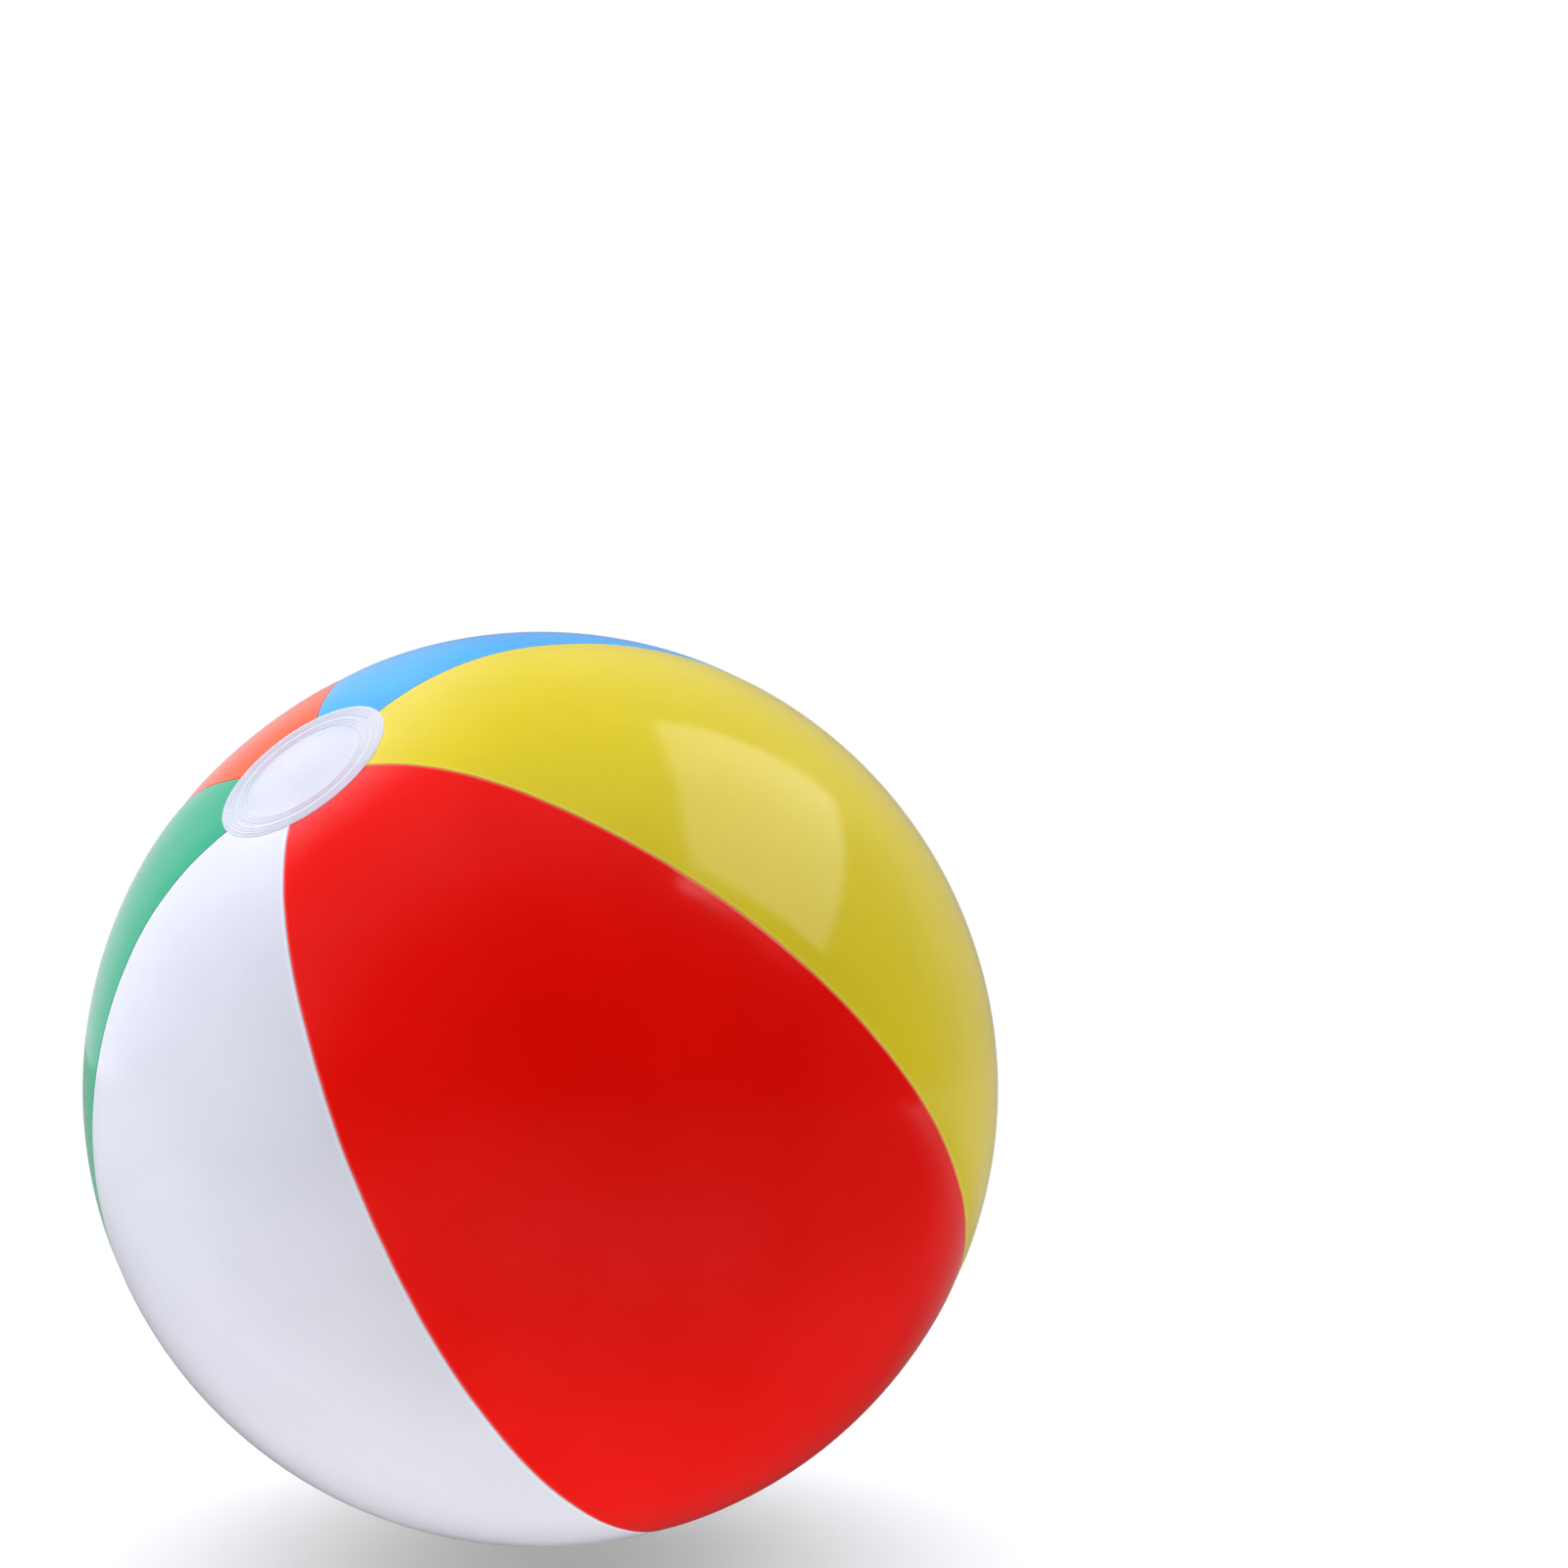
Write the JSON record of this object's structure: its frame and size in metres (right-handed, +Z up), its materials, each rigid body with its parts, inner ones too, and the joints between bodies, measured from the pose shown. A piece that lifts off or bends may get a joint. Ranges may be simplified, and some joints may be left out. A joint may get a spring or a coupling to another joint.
{
  "type": "inflatable beach ball",
  "caption": "Blown-up beach ball of welded coloured film gores with milky end discs and a push-in air valve closed by a strapped plug.",
  "frame": {"origin": "the point of the white gore that the ball rests on, on the floor under its centre", "axes": "+Z up; the upper pole leans 46 degrees from +Z, towards -X and -Y; the valve faces nearly +X"},
  "size_m": [0.356, 0.356, 0.356],
  "materials": {
    "film_white": "glossy calendered vinyl film",
    "film_green": "glossy calendered vinyl film",
    "film_orange": "glossy calendered vinyl film",
    "film_blue": "glossy calendered vinyl film",
    "film_yellow": "glossy calendered vinyl film",
    "film_red": "glossy calendered vinyl film",
    "disc_milky": "glossy milky translucent vinyl",
    "valve_clear": "soft clear moulded vinyl"
  },
  "bodies": {
    "ball": {"panel_white": "film_white", "panel_green": "film_green", "panel_orange": "film_orange", "panel_blue": "film_blue", "panel_yellow": "film_yellow", "panel_red": "film_red", "end_disc_upper": "disc_milky", "end_disc_lower": "disc_milky", "valve_flange": "valve_clear", "valve_skirt": "valve_clear"},
    "stem": {"valve_stem": "valve_clear"},
    "plug": {"valve_plug": "valve_clear"},
    "flap": {"check_flap": "valve_clear"}
  },
  "joints": [
    {"name": "valve_pop", "type": "slide", "parent": "ball", "child": "stem", "axis": [0.9615, 0.139, -0.2369], "range_m": [0, 0.012]},
    {"name": "plug_swing", "type": "hinge", "parent": "stem", "child": "plug", "pos_m": [0.17098, 0.01774, 0.13018], "axis": [-0.2717, 0.6086, -0.7455], "range_deg": [0, 165]},
    {"name": "flap_swing", "type": "hinge", "parent": "stem", "child": "flap", "pos_m": [0.14986, 0.02547, 0.14418], "axis": [-0.2717, 0.6086, -0.7455], "range_deg": [0, 60], "stiffness_Nm_per_rad": 0.0001, "springref_deg": -5.73}
  ]
}
